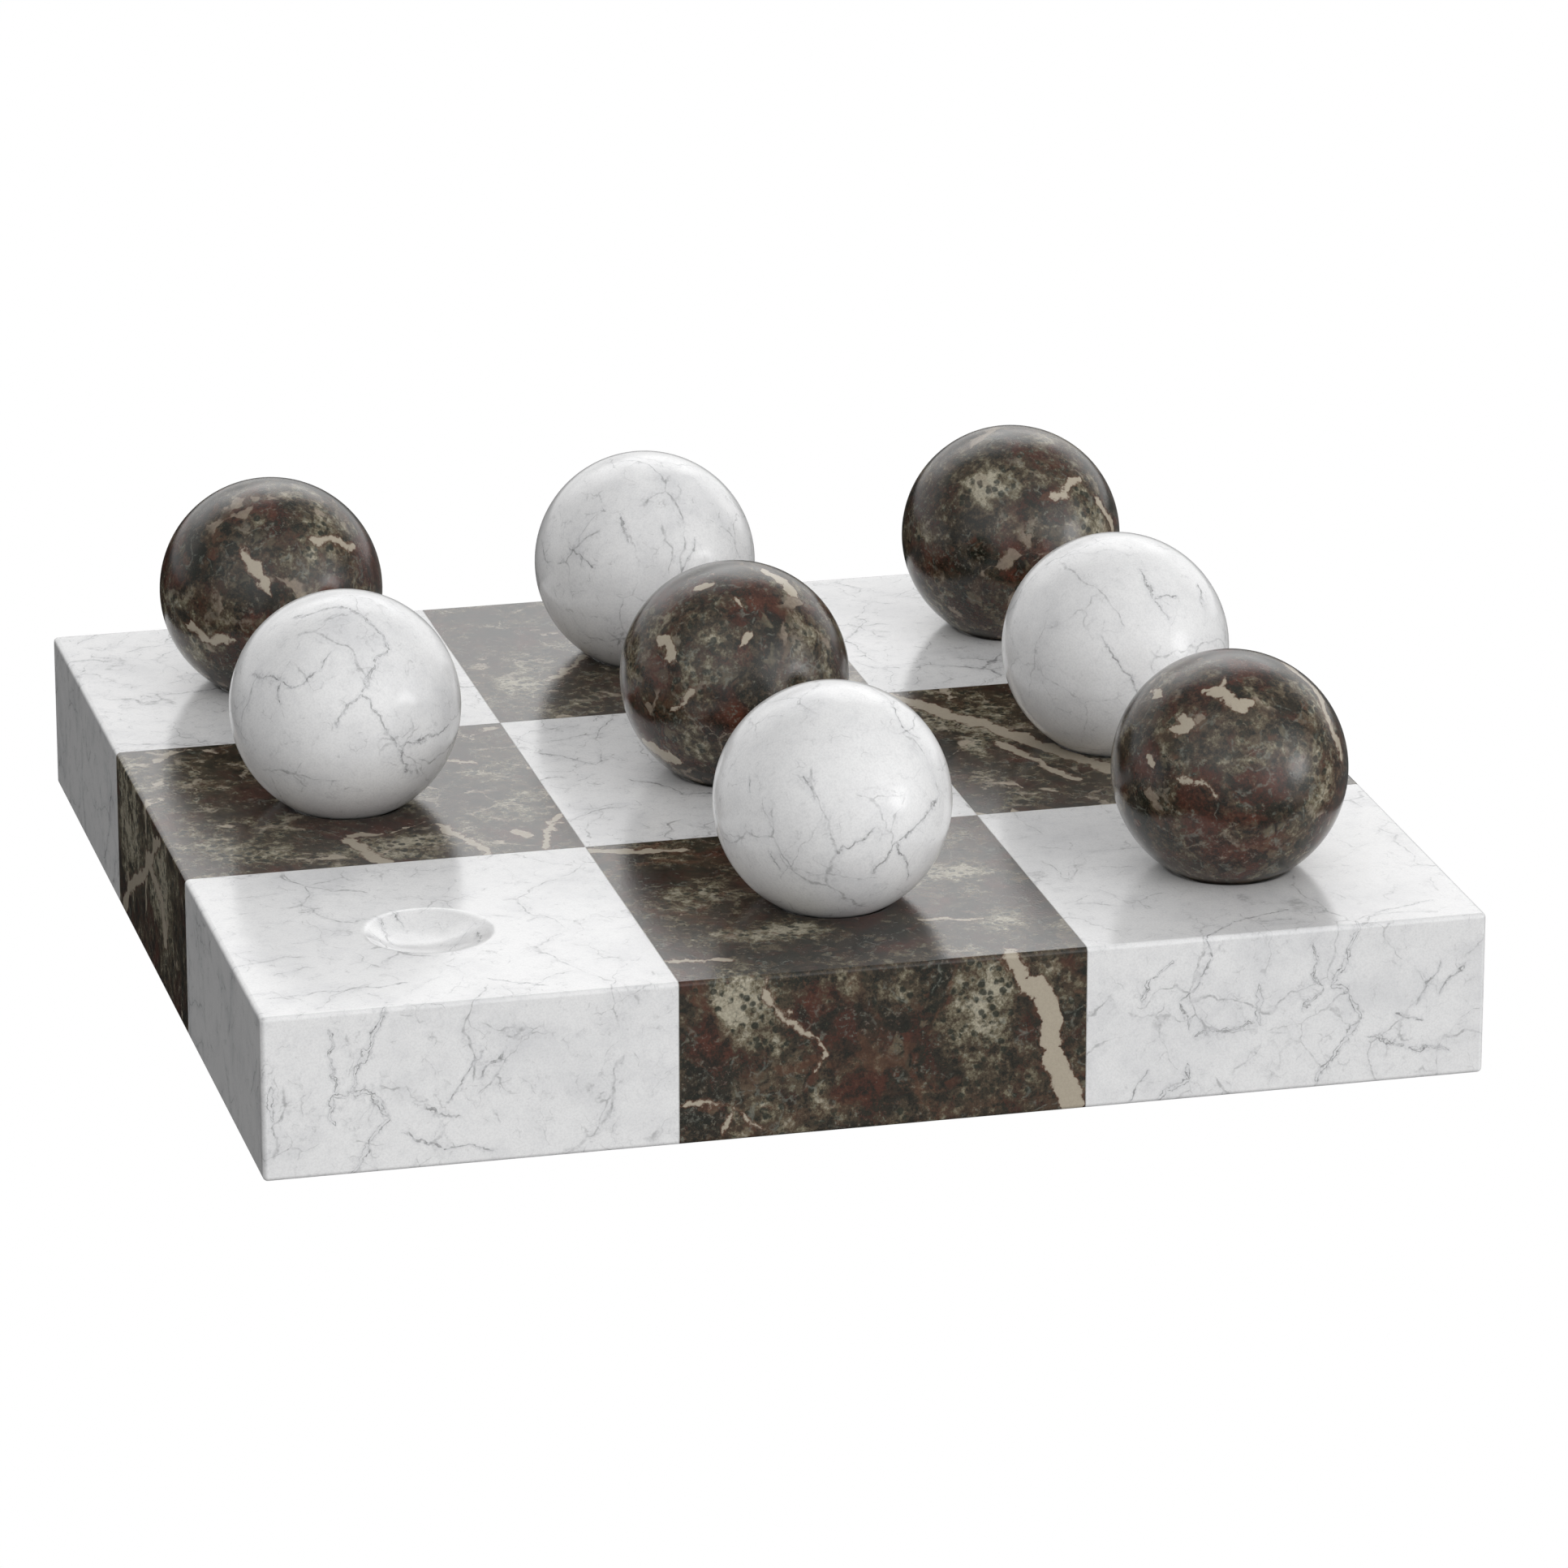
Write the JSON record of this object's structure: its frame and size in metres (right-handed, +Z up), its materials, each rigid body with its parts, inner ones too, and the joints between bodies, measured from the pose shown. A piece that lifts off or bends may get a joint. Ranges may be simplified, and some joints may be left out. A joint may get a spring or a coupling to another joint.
{
  "type": "tic tac toe set",
  "caption": "Tabletop tic tac toe game: a square chequered board of bonded marble blocks with ground dishes that hold loose marble balls.",
  "frame": {"origin": "middle of the board's footprint, on the table, in the plane of the felt pads' lower faces", "axes": "+Z up out of the top face, +X to the player's right along the front row, +Y away from the player, from the front row to the back row"},
  "size_m": [0.3, 0.3, 0.0964],
  "materials": {
    "white_marble": "polished white marble with fine grey veins",
    "dark_marble": "polished dark brown, red and green brecciated marble with cream veins",
    "stone_adhesive": "cured grey stone adhesive, ground flush",
    "felt": "pressed wool felt"
  },
  "bodies": {
    "board": {"white_block_front_left": "white_marble", "dark_block_front_centre": "dark_marble", "white_block_front_right": "white_marble", "dark_block_middle_left": "dark_marble", "white_block_middle_centre": "white_marble", "dark_block_middle_right": "dark_marble", "white_block_back_left": "white_marble", "dark_block_back_centre": "dark_marble", "white_block_back_right": "white_marble", "film_front_left": "stone_adhesive", "film_front_right": "stone_adhesive", "film_middle_left": "stone_adhesive", "film_middle_right": "stone_adhesive", "film_back_left": "stone_adhesive", "film_back_right": "stone_adhesive", "film_between_rows_front": "stone_adhesive", "film_between_rows_back": "stone_adhesive", "felt_pad_centre": "felt", "felt_pad_front_left": "felt", "felt_pad_front_right": "felt", "felt_pad_back_left": "felt", "felt_pad_back_right": "felt"},
    "white_ball_front_centre": {"white_ball_front_centre": "white_marble"},
    "dark_ball_front_right": {"dark_ball_front_right": "dark_marble"},
    "white_ball_middle_left": {"white_ball_middle_left": "white_marble"},
    "dark_ball_middle_centre": {"dark_ball_middle_centre": "dark_marble"},
    "white_ball_middle_right": {"white_ball_middle_right": "white_marble"},
    "dark_ball_back_left": {"dark_ball_back_left": "dark_marble"},
    "white_ball_back_centre": {"white_ball_back_centre": "white_marble"},
    "dark_ball_back_right": {"dark_ball_back_right": "dark_marble"}
  },
  "joints": [
    {"name": "lift_white_ball_front_centre", "type": "slide", "parent": "board", "child": "white_ball_front_centre", "axis": [0, 0, 1], "range_m": [0, 0.07]},
    {"name": "lift_dark_ball_front_right", "type": "slide", "parent": "board", "child": "dark_ball_front_right", "axis": [0, 0, 1], "range_m": [0, 0.07]},
    {"name": "lift_white_ball_middle_left", "type": "slide", "parent": "board", "child": "white_ball_middle_left", "axis": [0, 0, 1], "range_m": [0, 0.07]},
    {"name": "lift_dark_ball_middle_centre", "type": "slide", "parent": "board", "child": "dark_ball_middle_centre", "axis": [0, 0, 1], "range_m": [0, 0.07]},
    {"name": "lift_white_ball_middle_right", "type": "slide", "parent": "board", "child": "white_ball_middle_right", "axis": [0, 0, 1], "range_m": [0, 0.07]},
    {"name": "lift_dark_ball_back_left", "type": "slide", "parent": "board", "child": "dark_ball_back_left", "axis": [0, 0, 1], "range_m": [0, 0.07]},
    {"name": "lift_white_ball_back_centre", "type": "slide", "parent": "board", "child": "white_ball_back_centre", "axis": [0, 0, 1], "range_m": [0, 0.07]},
    {"name": "lift_dark_ball_back_right", "type": "slide", "parent": "board", "child": "dark_ball_back_right", "axis": [0, 0, 1], "range_m": [0, 0.07]}
  ]
}
